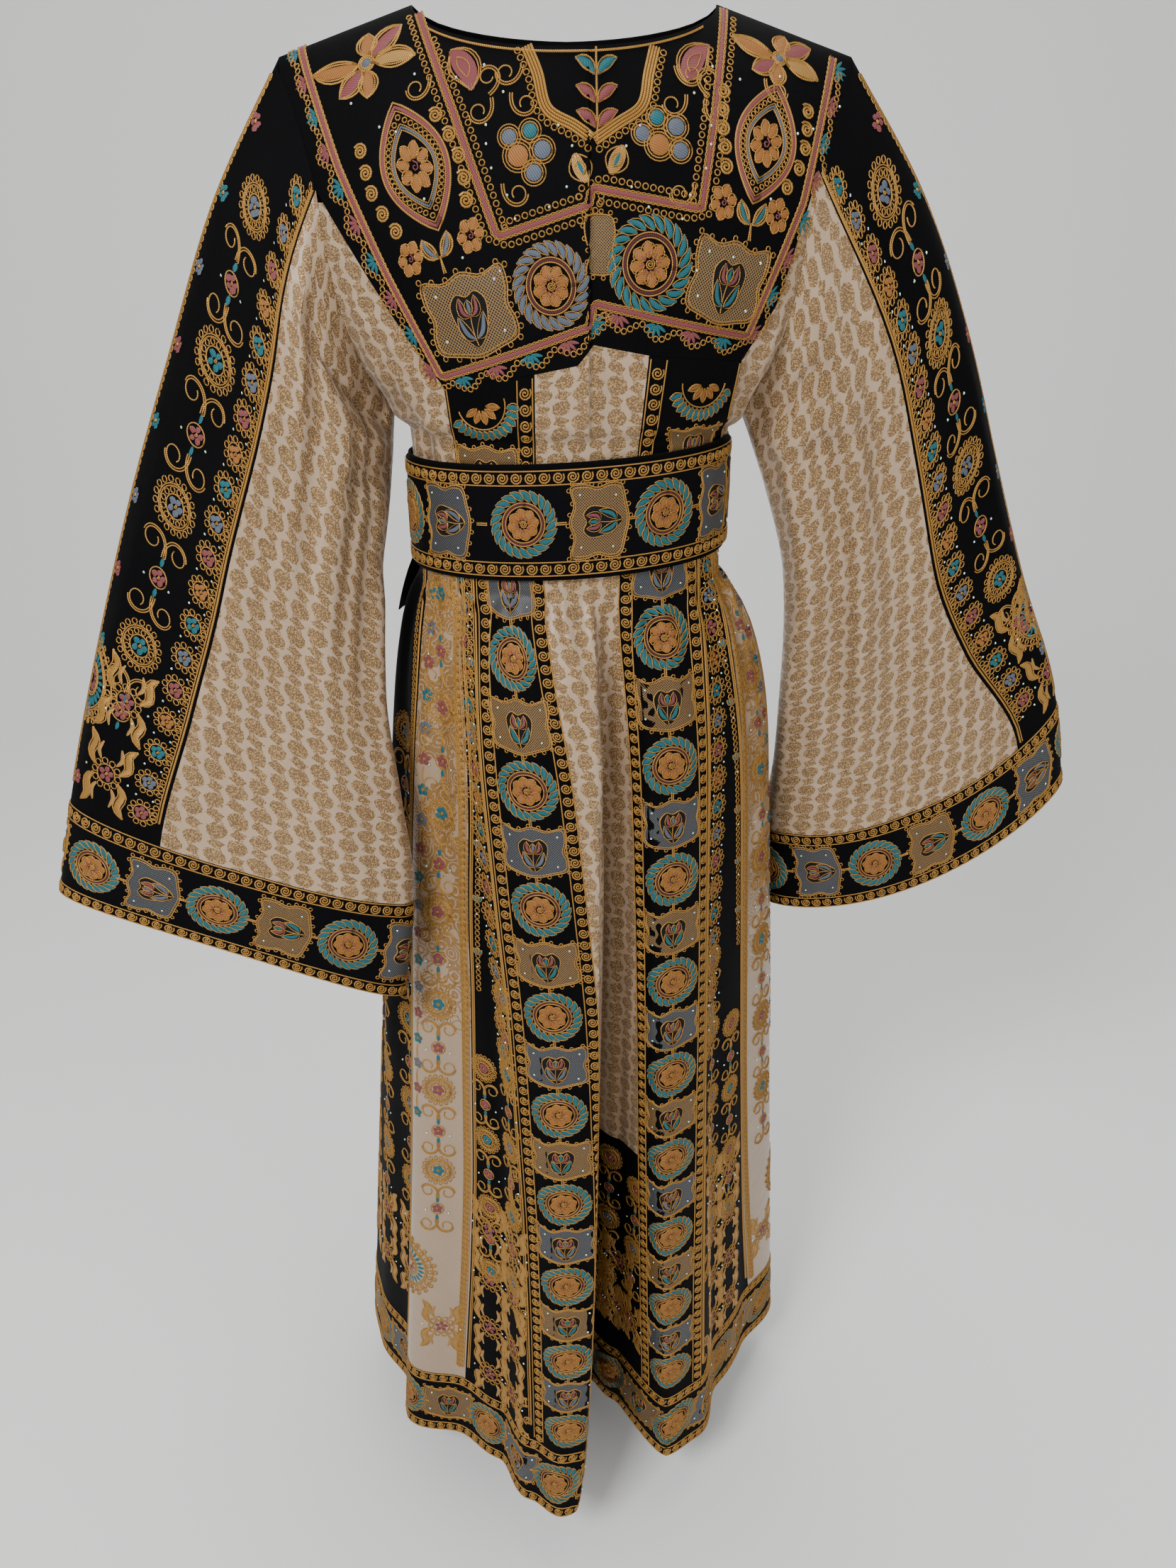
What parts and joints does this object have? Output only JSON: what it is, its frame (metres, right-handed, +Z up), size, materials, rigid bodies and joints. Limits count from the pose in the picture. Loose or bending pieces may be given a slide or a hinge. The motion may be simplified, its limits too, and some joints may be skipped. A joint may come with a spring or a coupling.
{
  "type": "thobe",
  "caption": "Long black and cream thobe with wide hanging sleeves, embroidered yoke, bands, cuffs and hem, and its own velvet belt, worn and filled out.",
  "frame": {"origin": "middle of the neck opening, level with the two neck points where the shoulder seams end", "axes": "+Z up the garment; the decorated front faces -Y; +X is the right of the picture, which is the wearer's left if that side is the front"},
  "size_m": [0.997, 0.5406, 1.4698],
  "materials": {
    "black_crepe": "matt crepe, couched with gold cord",
    "cream_brocade": "satin ground with a woven gold figure",
    "cream_satin": "smooth satin, couched with gold thread",
    "embroidered_band": "crepe ribbon, closely embroidered in gold, rose and teal",
    "black_velvet": "short pile velvet"
  },
  "bodies": {
    "root": {"belt_knot": "black_velvet", "belt_ribbon": "embroidered_band", "belt_tail_back": "black_velvet", "belt_tail_front": "black_velvet", "belt_velvet": "black_velvet", "bodice_back": "black_crepe", "bodice_band_left": "black_crepe", "bodice_band_right": "black_crepe", "bodice_centre": "cream_brocade", "bodice_side_left": "cream_brocade", "bodice_side_right": "cream_brocade", "cuff_left": "embroidered_band", "cuff_right": "embroidered_band", "hem_band": "embroidered_band", "skirt_back": "black_crepe", "skirt_band_left": "black_crepe", "skirt_band_right": "black_crepe", "skirt_centre": "cream_brocade", "skirt_centre_foot": "black_crepe", "skirt_satin_left": "cream_satin", "skirt_satin_right": "cream_satin", "skirt_side_left": "black_crepe", "skirt_side_right": "black_crepe", "skirt_strip_left": "black_crepe", "skirt_strip_right": "black_crepe", "sleeve_top_left": "black_crepe", "sleeve_top_right": "black_crepe", "sleeve_under_left": "cream_brocade", "sleeve_under_right": "cream_brocade", "yoke_front": "black_crepe"}
  },
  "joints": []
}
